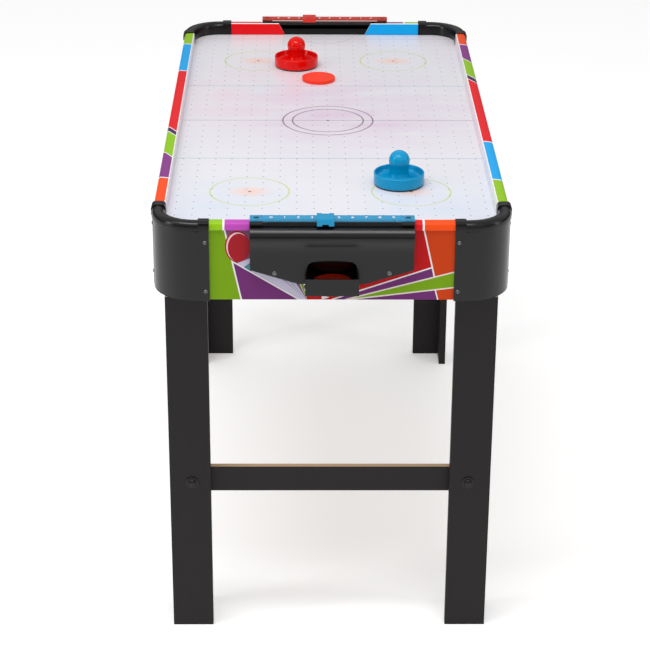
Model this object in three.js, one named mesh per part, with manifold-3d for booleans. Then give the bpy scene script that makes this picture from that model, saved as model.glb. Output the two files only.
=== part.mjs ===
// Air hockey table for children, with a fan-fed playing surface, two goals that return the puck,
// two sliding scorers, two pushers and two pucks.
// Millimetres, +Z up. The origin is on the floor under the centre of the table. The table's length
// runs along Y; the end at -Y has the blue scorer and is called the front.
import * as THREE from 'three';
import { mergeVertices } from 'three/addons/utils/BufferGeometryUtils.js';
import Module from 'manifold-3d';

const wasm = await Module();
wasm.setup();

// Driving dimensions
const LENGTH = 1020; // over the corner caps
const WIDTH = 510;
const RAIL_TOP = 660;
const PLAY_TOP = 639; // the surface that the puck glides on
const APRON_BOTTOM = 544;
const GAP = 0.3; // left between pieces that touch

const HALF_X = WIDTH / 2;
const HALF_Y = LENGTH / 2;

// How far each layer of the edge lies inside the outline
const TUBE_INSET = 1;
const CAP_INSET = 2.5;
const RAIL_INSET = 3;
const BOARD_INSET = 5.5;
const BOARD_THICK = 12;
const WALL_INSET = 20.3; // the inner face of the rails, which the puck bounces off
const LINER = 2.5; // thickness of the rails' plastic
const BOARD_TOP = RAIL_TOP - 4.3;

const CAP_REACH = 84; // along each side
const CAP_ROUND = 64; // radius of the outline at a corner
const COLLAR = 15; // length of the sleeve at each end of a cap's tube
const CAP_BOTTOM = APRON_BOTTOM - 1;

const PANEL_THICK = 3;
const PLENUM_TOP = PLAY_TOP - PANEL_THICK - GAP;
const PLENUM_BOTTOM = 609;
const BASE_THICK = 3;
const PLENUM_HALF_Y = 464;

const LEG_WIDTH = 60;
const LEG_THICK = 12;
const LEG_INNER_X = 175.5;
const LEG_FRONT_Y = HALF_Y - BOARD_INSET - BOARD_THICK - GAP;
const LEG_TOP = 600;
const BAR_LOW = 225;
const BAR_HIGH = 265;
const BAR_THICK = 9;
const BOLT_X = 203;

const GOAL_LOW = 72; // half the goal's width at the playing surface
const GOAL_HIGH = 84; // and at the rail's top
const HOOD_HALF = 114;
const TRAY_HALF = 37.5;
const TRAY_FRONT = 535;
const TRAY_BOTTOM = 562;
const TRAY_RIM = 587;
const SHELL = 2.5;
const POCKET_BACK = 468;

const DIGIT_PITCH = 18.8;
const BAR_BOTTOM = RAIL_TOP + 4.2;
const SCORE_THICK = 3;
const SCORE_NEAR = 495;
const SCORE_FAR = 512;

const PUCK_R = 28;
const PUCK_THICK = 6;
const PUSHER_R = 37.5;

const SWITCH_X = 142; // the power inlet is below the switch
const SWITCH_Z = 618;
const INLET_Z = 584;

const FAN_R = 38;
const FAN_FLOOR = 566;

// Materials
const finish = (color, roughness, metalness = 0) =>
  new THREE.MeshStandardMaterial({ color, roughness, metalness });
const looks = {
  charcoal: finish(0x3a3636, 0.45),
  black: finish(0x1c1a1a, 0.5),
  board: finish(0xb9a087, 0.7),
  laminate: finish(0x3a3638, 0.55),
  surface: finish(0xedecf2, 0.3),
  print: finish(0xe84a3c, 0.35),
  steel: finish(0x8d8f92, 0.35, 0.9),
  blue: finish(0x0a8fc4, 0.2),
  red: finish(0xdc1a0a, 0.2),
  felt: finish(0x2b2b2b, 0.95),
  puck: finish(0xff553c, 0.3),
};

const table = new THREE.Group();

function add(name, geometry, material) {
  const mesh = new THREE.Mesh(geometry, looks[material]);
  mesh.name = name;
  table.add(mesh);
}

// Booleans
function solid(geometry) {
  const bare = geometry.index ? geometry.toNonIndexed() : geometry.clone();
  for (const key of Object.keys(bare.attributes)) if (key !== 'position') bare.deleteAttribute(key);
  const merged = mergeVertices(bare, 1e-4);
  return new wasm.Manifold(new wasm.Mesh({
    numProp: 3,
    vertProperties: new Float32Array(merged.attributes.position.array),
    triVerts: new Uint32Array(merged.index.array),
  }));
}

function geometryOf(body) {
  const mesh = body.getMesh();
  const geometry = new THREE.BufferGeometry();
  geometry.setAttribute('position', new THREE.BufferAttribute(mesh.vertProperties, 3));
  geometry.setIndex(new THREE.BufferAttribute(mesh.triVerts, 1));
  return geometry;
}

const join = (...bodies) => bodies.reduce((a, b) => a.add(b));
const cut = (body, ...tools) => tools.reduce((a, b) => a.subtract(b), body);

// Shapes
const shapeOf = (points) => new THREE.Shape(points.map(([x, y]) => new THREE.Vector2(x, y)));

function box([x0, x1], [y0, y1], [z0, z1]) {
  const geometry = new THREE.BoxGeometry(x1 - x0, y1 - y0, z1 - z0);
  return geometry.translate((x0 + x1) / 2, (y0 + y1) / 2, (z0 + z1) / 2);
}

// An outline in X and Y, raised from z0 to z1
function prismZ(shape, z0, z1, curveSegments = 12) {
  const geometry = new THREE.ExtrudeGeometry(shape, { depth: z1 - z0, bevelEnabled: false, curveSegments });
  return geometry.translate(0, 0, z0);
}

// An outline in Y and Z, drawn out from x0 to x1
function prismX(points, x0, x1) {
  const geometry = new THREE.ExtrudeGeometry(shapeOf(points), { depth: x1 - x0, bevelEnabled: false });
  geometry.rotateX(Math.PI / 2).rotateZ(Math.PI / 2);
  return geometry.translate(x0, 0, 0);
}

// An outline in X and Z, drawn out from y0 to y1
function prismY(points, y0, y1) {
  const geometry = new THREE.ExtrudeGeometry(shapeOf(points), { depth: y1 - y0, bevelEnabled: false });
  return geometry.rotateX(Math.PI / 2).translate(0, y1, 0);
}

function cylinderZ(r, z0, z1, x = 0, y = 0, sides = 24) {
  return new THREE.CylinderGeometry(r, r, z1 - z0, sides).rotateX(Math.PI / 2).translate(x, y, (z0 + z1) / 2);
}

function cylinderY(r, y0, y1, x, z, sides = 16) {
  return new THREE.CylinderGeometry(r, r, y1 - y0, sides).translate(x, (y0 + y1) / 2, z);
}

// A profile of [radius, height] turned about the Z axis
function turned(profile, sides = 28) {
  const points = profile.map(([r, z]) => new THREE.Vector2(r, z));
  if (THREE.ShapeUtils.isClockWise(points)) points.reverse();
  return new THREE.LatheGeometry(points, sides).rotateX(Math.PI / 2);
}

function mirrored(body, sx, sy) {
  return body.scale([sx, sy, 1]);
}

// The rounded rectangle that lies an even distance inside the table's outline
function outline(inset, halfX = HALF_X - inset, halfY = HALF_Y - inset) {
  const r = CAP_ROUND - inset;
  const shape = new THREE.Shape();
  shape.moveTo(halfX, -halfY + r);
  shape.lineTo(halfX, halfY - r);
  shape.absarc(halfX - r, halfY - r, r, 0, Math.PI / 2, false);
  shape.lineTo(-halfX + r, halfY);
  shape.absarc(-halfX + r, halfY - r, r, Math.PI / 2, Math.PI, false);
  shape.lineTo(-halfX, -halfY + r);
  shape.absarc(-halfX + r, -halfY + r, r, Math.PI, 1.5 * Math.PI, false);
  shape.lineTo(halfX - r, -halfY);
  shape.absarc(halfX - r, -halfY + r, r, 1.5 * Math.PI, 2 * Math.PI, false);
  return shape;
}

const ENDS = [['front', -1], ['rear', 1]];
const SIDES = [['left', -1], ['right', 1]];
const CORNERS = ENDS.flatMap(([end, sy]) => SIDES.map(([side, sx]) => [`${end}_${side}`, sx, sy]));

// Playing surface and the air chamber under it
function playfield() {
  return prismZ(outline(18), PLAY_TOP - PANEL_THICK, PLAY_TOP, 10);
}

function plenumFrame() {
  const low = PLENUM_BOTTOM + GAP;
  const halfX = HALF_X - BOARD_INSET - BOARD_THICK - 1;
  const rim = 14;
  const ribTop = PLENUM_TOP - 7;
  const ring = cut(
    solid(box([-halfX, halfX], [-PLENUM_HALF_Y, PLENUM_HALF_Y], [low, PLENUM_TOP])),
    solid(box(
      [-halfX + rim, halfX - rim],
      [-PLENUM_HALF_Y + rim, PLENUM_HALF_Y - rim],
      [low - 1, PLENUM_TOP + 1],
    )),
  );
  const ribs = [-1, 1].map((s) =>
    solid(box([-halfX + rim / 2, halfX - rim / 2], [s * 150 - 6, s * 150 + 6], [low, ribTop])));
  return geometryOf(join(ring, ...ribs));
}

function basePanel() {
  const halfX = HALF_X - BOARD_INSET - BOARD_THICK - 1;
  return geometryOf(cut(
    solid(box([-halfX, halfX], [-PLENUM_HALF_Y, PLENUM_HALF_Y], [PLENUM_BOTTOM - BASE_THICK, PLENUM_BOTTOM])),
    solid(cylinderZ(FAN_R, PLENUM_BOTTOM - 10, PLENUM_BOTTOM + 10)),
  ));
}

// Boards round the sides, and the rails on top of them
function sideApron(sx) {
  const outer = HALF_X - BOARD_INSET;
  const reach = HALF_Y - CAP_ROUND - 2;
  const xs = [sx * outer, sx * (outer - BOARD_THICK)].sort((a, b) => a - b);
  return box(xs, [-reach, reach], [APRON_BOTTOM, BOARD_TOP]);
}

function endApron(sy) {
  const outer = HALF_Y - BOARD_INSET;
  const reach = HALF_X - CAP_ROUND - 2;
  const slot = GOAL_HIGH + 5;
  const chute = TRAY_HALF + 1;
  const board = cut(
    solid(box([-reach, reach], [outer - BOARD_THICK, outer], [APRON_BOTTOM, BOARD_TOP])),
    solid(box([-slot, slot], [outer - 20, outer + 5], [590, BOARD_TOP + 5])),
    solid(box([-chute, chute], [outer - 20, outer + 5], [TRAY_BOTTOM - 1, 600])),
  );
  if (sy < 0) return geometryOf(mirrored(board, 1, sy));
  return geometryOf(cut(
    board,
    solid(box([SWITCH_X - 9.5, SWITCH_X + 9.5], [outer - 20, outer + 5], [SWITCH_Z - 6, SWITCH_Z + 6])),
    solid(cylinderY(5, outer - 20, outer + 5, SWITCH_X, INLET_Z)),
  ));
}

// The rails are U-shaped covers: [distance inside the outline, height]
const railSection = [
  [RAIL_INSET, 649], [BOARD_INSET - GAP, 649], [BOARD_INSET - GAP, BOARD_TOP + GAP],
  [WALL_INSET - LINER, BOARD_TOP + GAP], [WALL_INSET - LINER, PLAY_TOP + GAP], [WALL_INSET, PLAY_TOP + GAP],
  [WALL_INSET, RAIL_TOP - 2], [WALL_INSET - 0.6, RAIL_TOP - 0.6], [WALL_INSET - 2, RAIL_TOP],
  [RAIL_INSET + 5, RAIL_TOP], [RAIL_INSET + 2.5, RAIL_TOP - 0.7], [RAIL_INSET + 0.7, RAIL_TOP - 2.5],
  [RAIL_INSET, RAIL_TOP - 5],
];

function sideRail(sx) {
  const reach = HALF_Y - CAP_REACH - GAP;
  const points = railSection.map(([inset, z]) => [HALF_X - inset, z]);
  return geometryOf(mirrored(solid(prismY(points, -reach, reach)), sx, 1));
}

function endRail(sx, sy) {
  const reach = HALF_X - CAP_REACH - GAP;
  const points = railSection.map(([inset, z]) => [HALF_Y - inset, z]);
  const mouth = [
    [-5, PLAY_TOP - 5], [GOAL_LOW - 2, PLAY_TOP - 5], [GOAL_HIGH, RAIL_TOP], [GOAL_HIGH, RAIL_TOP + 5],
    [-5, RAIL_TOP + 5],
  ];
  const rail = cut(
    solid(prismX(points, 0, reach)),
    solid(prismY(mouth, HALF_Y - 30, HALF_Y + 5)),
    solid(box(
      [-5, HOOD_HALF + GAP],
      [HALF_Y - WALL_INSET + LINER + GAP, HALF_Y + 5],
      [PLAY_TOP, RAIL_TOP + 5],
    )),
  );
  return geometryOf(mirrored(rail, sx, sy));
}

// Corner caps: a section swept along a straight, a quarter circle and a second straight
const arcPoints = (cx, cz, r, from, to, steps) =>
  Array.from({ length: steps + 1 }, (_, i) => {
    const a = from + ((to - from) * i) / steps;
    return [cx + r * Math.cos(a), cz + r * Math.sin(a)];
  });

function sweep(outlinePoints, stations) {
  const clockwise = THREE.ShapeUtils.isClockWise(outlinePoints.map(([x, y]) => new THREE.Vector2(x, y)));
  const section = clockwise ? [...outlinePoints].reverse() : outlinePoints;
  const positions = [];
  const index = [];
  const n = section.length;
  for (const place of stations) for (const [inset, z] of section) positions.push(...place(inset), z);
  for (let s = 0; s + 1 < stations.length; s++) {
    for (let k = 0; k < n; k++) {
      const a = s * n + k;
      const b = s * n + ((k + 1) % n);
      index.push(a, a + n, b, b, a + n, b + n);
    }
  }
  const caps = THREE.ShapeUtils.triangulateShape(section.map(([x, y]) => new THREE.Vector2(x, y)), []);
  const last = (stations.length - 1) * n;
  for (const [a, b, c] of caps) {
    index.push(a, b, c);
    index.push(last + a, last + c, last + b);
  }
  const geometry = new THREE.BufferGeometry();
  geometry.setAttribute('position', new THREE.Float32BufferAttribute(positions, 3));
  geometry.setIndex(index);
  return geometry;
}

const onEnd = (x) => (inset) => [x, HALF_Y - inset];
const onSide = (y) => (inset) => [HALF_X - inset, y];
const onArc = (angle) => (inset) => [
  HALF_X - CAP_ROUND + (CAP_ROUND - inset) * Math.cos(angle),
  HALF_Y - CAP_ROUND + (CAP_ROUND - inset) * Math.sin(angle),
];

function capPath(steps) {
  const arc = Array.from({ length: steps + 1 }, (_, i) => onArc((Math.PI / 2) * (1 - i / steps)));
  return [onEnd(HALF_X - CAP_REACH), ...arc, onSide(HALF_Y - CAP_REACH)];
}

const CAP_SKIN_INSIDE = BOARD_INSET - GAP;
const ROOF = BOARD_TOP + GAP;

function capSection() {
  const r = (WALL_INSET - TUBE_INSET) / 2;
  const rise = 0.75;
  const crown = RAIL_TOP + 1 - r * rise;
  const top = arcPoints(TUBE_INSET + r, 0, r, Math.PI, 0, 6).map(([x, z]) => [x, crown + z * rise]);
  return [
    [CAP_INSET, CAP_BOTTOM], [CAP_INSET, 647], [TUBE_INSET, 648.5], ...top,
    [WALL_INSET, PLAY_TOP + GAP], [WALL_INSET - LINER, PLAY_TOP + GAP], [WALL_INSET - LINER, ROOF],
    [CAP_SKIN_INSIDE, ROOF], [CAP_SKIN_INSIDE, CAP_BOTTOM],
  ];
}

function collarSection() {
  const low = 646.5;
  return [
    [0, low], [0, 656], [1.2, 659.6], [4, 661.6], [9, 662], [16, 661.8], [19.5, 660], [21, 656.5],
    [21, PLAY_TOP + 1], [WALL_INSET - 0.5, PLAY_TOP + 1], [WALL_INSET - 0.5, ROOF + 1.5], [3.5, ROOF + 1.5],
    [3.5, low],
  ];
}

function flangeSection() {
  const high = 646;
  return [
    [CAP_INSET - 0.6, CAP_BOTTOM], [CAP_INSET - 0.6, high], [CAP_INSET + 1, high], [CAP_INSET + 1, CAP_BOTTOM],
  ];
}

function cornerCap(sx, sy) {
  const outerX = HALF_X - CAP_REACH;
  const outerY = HALF_Y - CAP_REACH;
  const onBoth = (section, reach) => [
    solid(sweep(section, [onEnd(outerX), onEnd(outerX + reach)])),
    solid(sweep(section, [onSide(outerY + reach), onSide(outerY)])),
  ];
  const whole = join(
    solid(sweep(capSection(), capPath(8))),
    ...onBoth(collarSection(), COLLAR),
    ...onBoth(flangeSection(), CAP_REACH - CAP_ROUND - 2),
  );
  return geometryOf(mirrored(whole, sx, sy));
}

// Legs, their blocks, the crossbars and their bolts
function leg(sx, sy) {
  const outer = LEG_INNER_X + LEG_WIDTH;
  const back = LEG_FRONT_Y - LEG_WIDTH;
  const corner = shapeOf([
    [LEG_INNER_X, LEG_FRONT_Y], [LEG_INNER_X, LEG_FRONT_Y - LEG_THICK],
    [outer - LEG_THICK, LEG_FRONT_Y - LEG_THICK], [outer - LEG_THICK, back], [outer, back], [outer, LEG_FRONT_Y],
  ]);
  const hole = cylinderY(3.3, back, LEG_FRONT_Y + 5, BOLT_X, (BAR_LOW + BAR_HIGH) / 2, 12);
  // The top of the leg is rounded off to fit inside the cap
  const outside = solid(box([0, HALF_X], [0, HALF_Y], [CAP_BOTTOM - 0.5, LEG_TOP + 5]))
    .subtract(solid(prismZ(outline(CAP_SKIN_INSIDE + GAP), CAP_BOTTOM - 5, LEG_TOP + 10)));
  return geometryOf(mirrored(cut(solid(prismZ(corner, 0, LEG_TOP)), solid(hole), outside), sx, sy));
}

function cornerBlock(sx, sy) {
  const outer = LEG_INNER_X + LEG_WIDTH - LEG_THICK - GAP;
  const near = LEG_FRONT_Y - LEG_THICK - GAP;
  const shape = shapeOf([[LEG_INNER_X + 2, near], [outer, near], [outer, near - 44]]);
  return geometryOf(mirrored(solid(prismZ(shape, 550, LEG_TOP)), sx, sy));
}

function crossbar(sy) {
  const reach = LEG_INNER_X + LEG_WIDTH - LEG_THICK - 2;
  const near = LEG_FRONT_Y - LEG_THICK - GAP;
  const holes = [-1, 1].map((s) => solid(cylinderY(3.3, 0, HALF_Y, s * BOLT_X, (BAR_LOW + BAR_HIGH) / 2, 12)));
  const bar = solid(box([-reach, reach], [near - BAR_THICK, near], [BAR_LOW, BAR_HIGH]));
  return geometryOf(mirrored(cut(bar, ...holes), 1, sy));
}

// A dished washer, a domed head, the shank and a nut, made as one fastened piece
function crossbarBolt(sx, sy) {
  const back = LEG_THICK + BAR_THICK + 2 * GAP;
  const profile = [
    [0, -back - 9], [3, -back - 9], [3, -back - 5], [6, -back - 5], [6, -back - GAP], [3, -back - GAP],
    [3, GAP], [9.5, GAP], [9.5, 1.2], [8, 1.8], [6.2, 1.5], [6, 2.6], [4.6, 4.2], [2.4, 5], [0, 5.2],
  ];
  const bolt = solid(turned(profile, 20).rotateX(-Math.PI / 2))
    .translate([BOLT_X, LEG_FRONT_Y, (BAR_LOW + BAR_HIGH) / 2]);
  return geometryOf(mirrored(bolt, sx, sy));
}

// Goal housing: a hood over the goal, a chute behind it and a tray that holds the returned puck
const hoodProfile = [
  [504.8, RAIL_TOP], [507.5, RAIL_TOP], [509, 656.5], [513, 655.5], [519, 651.5], [523, 646], [524, 641.5],
  [522.5, 637], [518.5, 630], [516.4, 624], [516, 618], [516, 560], [504.8, 560],
];

function goalHousing(sy) {
  const inner = [
    [495, 650], ...hoodProfile.slice(2).map(([y, z], i) => [y - SHELL, i < 4 ? z - SHELL : z]), [495, 560],
  ];
  // The hood's outline from the front, and the funnel that leads the puck down
  const face = [
    [-HOOD_HALF, 593], [-47, 572.4], [47, 572.4], [HOOD_HALF, 593], [HOOD_HALF, 670], [-HOOD_HALF, 670],
  ];
  const funnel = (grow) => [
    [-GOAL_HIGH - grow, 628], [-35 - grow, 592], [-35 - grow, TRAY_BOTTOM + SHELL - grow],
    [35 + grow, TRAY_BOTTOM + SHELL - grow], [35 + grow, 592], [GOAL_HIGH + grow, 628],
    [GOAL_HIGH + grow, RAIL_TOP - 3.5 + grow], [-GOAL_HIGH - grow, RAIL_TOP - 3.5 + grow],
  ];
  const lintel = RAIL_TOP - 3.5;
  const mouth = [
    [-GOAL_LOW, PLAY_TOP + GAP], [GOAL_LOW, PLAY_TOP + GAP], [GOAL_HIGH - 1.5, lintel], [-GOAL_HIGH + 1.5, lintel],
  ];
  const arch = arcPoints(0, 0, 35, 0, Math.PI, 10).map(([x, z]) => [x, 596 + Math.min(z * 0.5, 6 + z * 0.15)]);
  const opening = [[-35, TRAY_BOTTOM + SHELL], [35, TRAY_BOTTOM + SHELL], ...arch];
  const hood = solid(prismX(hoodProfile, -HOOD_HALF, HOOD_HALF)).intersect(solid(prismY(face, 490, 540)));
  const hoodHollow = solid(prismX(inner, -HOOD_HALF + SHELL, HOOD_HALF - SHELL))
    .subtract(solid(prismY(funnel(SHELL), 480, 540)));
  const chute = solid(prismY(funnel(SHELL), 493, 505.3));
  const pocket = solid(box([-TRAY_HALF, TRAY_HALF], [POCKET_BACK, 505.3], [TRAY_BOTTOM, 597.6]));
  const tray = solid(box([-TRAY_HALF, TRAY_HALF], [504.8, TRAY_FRONT], [TRAY_BOTTOM, TRAY_RIM]));
  const lintelRoof = solid(box([-GOAL_HIGH + 1, GOAL_HIGH - 1], [493, 506], [lintel - 0.5, RAIL_TOP]));
  const housing = cut(
    join(cut(hood, hoodHollow), chute, pocket, tray, lintelRoof),
    solid(prismY(funnel(0), 495.5, 504.8)),
    solid(prismY(funnel(0), 495.5, 530)).intersect(solid(prismX(inner, -HOOD_HALF, HOOD_HALF))),
    solid(prismY(mouth, 480, 500)),
    solid(box([-35, 35], [POCKET_BACK + SHELL, TRAY_FRONT - SHELL], [TRAY_BOTTOM + SHELL, 595])),
    solid(prismY(opening, 500, TRAY_FRONT - SHELL)),
  );
  return geometryOf(mirrored(housing, 1, sy));
}

// Scorers
function scoreBlock(sx, sy) {
  const block = solid(box(
    [96, HOOD_HALF - 0.5],
    [SCORE_NEAR - 1, SCORE_FAR + 1.5],
    [RAIL_TOP + GAP, BAR_BOTTOM - GAP],
  ));
  const peg = solid(box([102, 108], [501, 507], [BAR_BOTTOM - 1, BAR_BOTTOM + SCORE_THICK - 0.8]));
  return geometryOf(mirrored(join(block, peg), sx, sy));
}

function scoreBar(sy) {
  const socket = (s) => solid(box([s * 105 - 3.4, s * 105 + 3.4], [500.6, 507.4], [RAIL_TOP, RAIL_TOP + 20]));
  const sockets = [-1, 1].map(socket);
  const bar = solid(box([-HOOD_HALF, HOOD_HALF], [SCORE_NEAR, SCORE_FAR], [BAR_BOTTOM, BAR_BOTTOM + SCORE_THICK]));
  return geometryOf(mirrored(cut(bar, ...sockets), 1, sy));
}

// A clip that wraps the bar, with a notch in its top and a tongue hanging in front
function scoreSlider(sy, place) {
  const top = BAR_BOTTOM + SCORE_THICK;
  const section = [
    [SCORE_NEAR - 3, RAIL_TOP + 1.6], [SCORE_FAR - 4, RAIL_TOP + 1.6], [SCORE_FAR - 4, BAR_BOTTOM - GAP],
    [SCORE_NEAR - GAP, BAR_BOTTOM - GAP], [SCORE_NEAR - GAP, top + GAP], [SCORE_FAR + 2.2, top + GAP],
    [SCORE_FAR + 2.2, 659], [SCORE_FAR + 5, 659], [SCORE_FAR + 5, top + 1], [SCORE_FAR + 4, top + 2.4],
    [SCORE_NEAR - 2, top + 2.4], [SCORE_NEAR - 3, top + 1.4],
  ];
  const clip = cut(
    solid(prismX(section, -12, 12)),
    solid(box([-5.5, 5.5], [SCORE_NEAR - 10, SCORE_NEAR + 3], [top + 1.2, top + 10])),
    solid(box([-4.5, 4.5], [SCORE_FAR + 1, SCORE_FAR + 10], [650, 661.5])),
  );
  return geometryOf(mirrored(clip.translate([place, 0, 0]), 1, sy));
}

// Fan under the base panel
function blowerHousing() {
  const top = PLENUM_BOTTOM - BASE_THICK - GAP;
  const half = 48;
  const frame = cut(
    solid(box([-half, half], [-half, half], [FAN_FLOOR, top])),
    solid(cylinderZ(FAN_R + 2, FAN_FLOOR - 1, top + 1)),
  );
  const bar = box([-FAN_R - 4, FAN_R + 4], [-2.5, 2.5], [FAN_FLOOR, FAN_FLOOR + 3]);
  const strut = (turn) => solid(bar).rotate([0, 0, turn]);
  const cup = solid(cylinderZ(17, FAN_FLOOR, FAN_FLOOR + 6));
  return geometryOf(join(frame, strut(45), strut(135), cup));
}

function fanRotor() {
  const low = FAN_FLOOR + 8;
  const hub = solid(cylinderZ(16, low, low + 22));
  const blades = Array.from({ length: 7 }, (_, i) => {
    const blade = solid(box([14, FAN_R - 1], [-1, 1], [-11, 11])).rotate([38, 0, 0]);
    return blade.translate([0, 0, low + 11]).rotate([0, 0, (360 / 7) * i]);
  });
  const spindle = solid(cylinderZ(2.5, low - 1.5, low + 1, 0, 0, 16));
  return geometryOf(join(hub, spindle, ...blades));
}

function blowerGrille() {
  const low = FAN_FLOOR - GAP - 3;
  const high = FAN_FLOOR - GAP;
  const plate = cut(solid(box([-48, 48], [-48, 48], [low, high])), solid(cylinderZ(39, low - 1, high + 1)));
  const ring = (r) => cut(solid(cylinderZ(r, low, high)), solid(cylinderZ(r - 2, low - 1, high + 1)));
  const spoke = (turn) => solid(box([-41, 41], [-1.2, 1.2], [low, high])).rotate([0, 0, turn]);
  return geometryOf(join(plate, ring(31), ring(22), ring(13), spoke(0), spoke(90)));
}

// Switch and power inlet in the rear board
const BOARD_OUT = HALF_Y - BOARD_INSET;

function switchBezel() {
  const frame = cut(
    solid(box([SWITCH_X - 13, SWITCH_X + 13], [BOARD_OUT + GAP, BOARD_OUT + 3], [SWITCH_Z - 9, SWITCH_Z + 9])),
    solid(box([SWITCH_X - 9.5, SWITCH_X + 9.5], [BOARD_OUT - 20, BOARD_OUT + 10], [SWITCH_Z - 6, SWITCH_Z + 6])),
  );
  return geometryOf(frame);
}

function switchRocker() {
  const tilt = 8;
  const outline2d = [[-8.6, -1], [8.6, -1], [8.6, 2.6], [0, 1.2], [-8.6, 2.6]];
  const rocker = solid(prismZ(shapeOf(outline2d), -5.4, 5.4)).rotate([0, 0, tilt]);
  return geometryOf(rocker.translate([SWITCH_X, BOARD_OUT + 1.8, SWITCH_Z]));
}

function powerInlet() {
  const profile = [[3.2, -7], [4.6, -7], [4.6, GAP], [7, GAP], [7, 3], [3.2, 3], [3.2, -7]];
  const barrel = solid(turned(profile, 24).rotateX(-Math.PI / 2));
  return geometryOf(barrel.translate([SWITCH_X, BOARD_OUT, INLET_Z]));
}

// Pushers and pucks
function pusher() {
  const rim = 19;
  const lift = 1.8;
  const domeR = 15.6;
  const top = 52;
  const dome = arcPoints(0, top - domeR, domeR, -0.12, Math.PI / 2, 7).map(([r, z]) => [Math.max(r, 0), z]);
  dome[dome.length - 1][0] = 0;
  const profile = [
    [0, 6], [30, 6], [33, 3], [34, lift], [36.3, lift], [PUSHER_R, lift + 1.5], [PUSHER_R, rim - 1],
    [36.7, rim], [35.5, rim], [34.8, rim - 1.2], [33.4, 10.4], [28, 8.4], [20.5, 8.8], [16.4, 12], [14.2, 19],
    [14, 27], ...dome,
  ];
  return turned(profile);
}
function pusherFelt() {
  return turned([[30, 0.1], [36.4, 0.1], [36.4, 1.5], [30, 1.5], [30, 0.1]]);
}

function puck() {
  const r = PUCK_R;
  const t = PUCK_THICK;
  return turned([
    [0, 0], [r - 0.8, 0], [r, 0.8], [r, t - 0.8], [r - 0.8, t], [r - 4, t], [r - 5, t - 0.7], [0, t - 0.7],
  ]);
}

// Assembly
add('playfield', playfield(), 'surface');
add('plenum_frame', plenumFrame(), 'board');
add('base_panel', basePanel(), 'board');

for (const [side, sx] of SIDES) {
  add(`side_apron_${side}`, sideApron(sx), 'board');
  add(`side_rail_${side}`, sideRail(sx), 'print');
}

const SLIDER_PLACE = { front: -0.5 * DIGIT_PITCH, rear: -1.5 * DIGIT_PITCH };
const END_COLOUR = { front: 'blue', rear: 'red' };
for (const [end, sy] of ENDS) {
  add(`end_apron_${end}`, endApron(sy), 'board');
  add(`goal_housing_${end}`, goalHousing(sy), 'charcoal');
  add(`score_bar_${end}`, scoreBar(sy), END_COLOUR[end]);
  add(`score_slider_${end}`, scoreSlider(sy, SLIDER_PLACE[end]), END_COLOUR[end]);
  add(`leg_crossbar_${end}`, crossbar(sy), 'laminate');
}

for (const [corner, sx, sy] of CORNERS) {
  add(`end_rail_${corner}`, endRail(sx, sy), 'print');
  add(`corner_cap_${corner}`, cornerCap(sx, sy), 'charcoal');
  add(`score_block_${corner}`, scoreBlock(sx, sy), 'black');
  add(`leg_${corner}`, leg(sx, sy), 'laminate');
  add(`corner_block_${corner}`, cornerBlock(sx, sy), 'board');
  add(`crossbar_bolt_${corner}`, crossbarBolt(sx, sy), 'black');
}

add('blower_housing', blowerHousing(), 'black');
add('fan_rotor', fanRotor(), 'black');
add('blower_grille', blowerGrille(), 'black');
add('switch_bezel', switchBezel(), 'black');
add('switch_rocker', switchRocker(), 'black');
add('power_inlet', powerInlet(), 'black');

const PUSHER_PLACES = { blue: [101.6, -293], red: [-51.5, 298] };
for (const [colour, [x, y]] of Object.entries(PUSHER_PLACES)) {
  add(`pusher_${colour}`, pusher().translate(x, y, PLAY_TOP), colour);
  add(`pusher_felt_${colour}`, pusherFelt().translate(x, y, PLAY_TOP), 'felt');
}
add('puck_on_table', puck().translate(-13.3, 216, PLAY_TOP + 0.1), 'puck');
add('puck_in_tray', puck().translate(1, -(TRAY_FRONT - SHELL - PUCK_R - 3.2), TRAY_BOTTOM + SHELL + 0.1), 'puck');

export default table;
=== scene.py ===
"""Air hockey table: printed boards and rails, moulded caps and hoods, a pierced playing surface,
turned pushers and pucks, and soft studio light. Metres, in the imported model's frame."""

import math

import bmesh
import bpy
from mathutils import Euler, Matrix, Vector


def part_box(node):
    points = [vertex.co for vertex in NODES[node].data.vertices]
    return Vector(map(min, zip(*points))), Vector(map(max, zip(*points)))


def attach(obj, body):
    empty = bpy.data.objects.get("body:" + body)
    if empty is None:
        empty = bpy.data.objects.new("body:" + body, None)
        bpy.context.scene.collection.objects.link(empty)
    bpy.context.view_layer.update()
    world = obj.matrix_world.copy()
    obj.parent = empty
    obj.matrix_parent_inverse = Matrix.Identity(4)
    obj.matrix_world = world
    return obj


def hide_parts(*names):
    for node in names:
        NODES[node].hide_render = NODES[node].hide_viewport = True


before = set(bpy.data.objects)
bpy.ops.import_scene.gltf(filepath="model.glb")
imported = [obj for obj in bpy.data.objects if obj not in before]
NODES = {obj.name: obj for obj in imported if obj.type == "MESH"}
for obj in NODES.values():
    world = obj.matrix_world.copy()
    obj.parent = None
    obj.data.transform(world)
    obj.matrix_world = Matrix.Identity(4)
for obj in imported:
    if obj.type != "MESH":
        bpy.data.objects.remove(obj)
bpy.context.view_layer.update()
MM = 0.001

# Places read from the frame
PLAY_LOW, PLAY_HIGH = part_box("playfield")
RAIL_LOW, RAIL_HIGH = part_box("side_rail_right")
BOARD_LOW, BOARD_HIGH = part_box("end_apron_rear")
SIDE_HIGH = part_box("side_apron_right")[1]
CAP_LOW, CAP_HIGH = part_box("corner_cap_rear_right")
WALL_X = RAIL_LOW.x
RAIL_END_Y = RAIL_HIGH.y
CAP_EDGE_X = CAP_LOW.x
PLAY_Z = PLAY_HIGH.z


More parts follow.
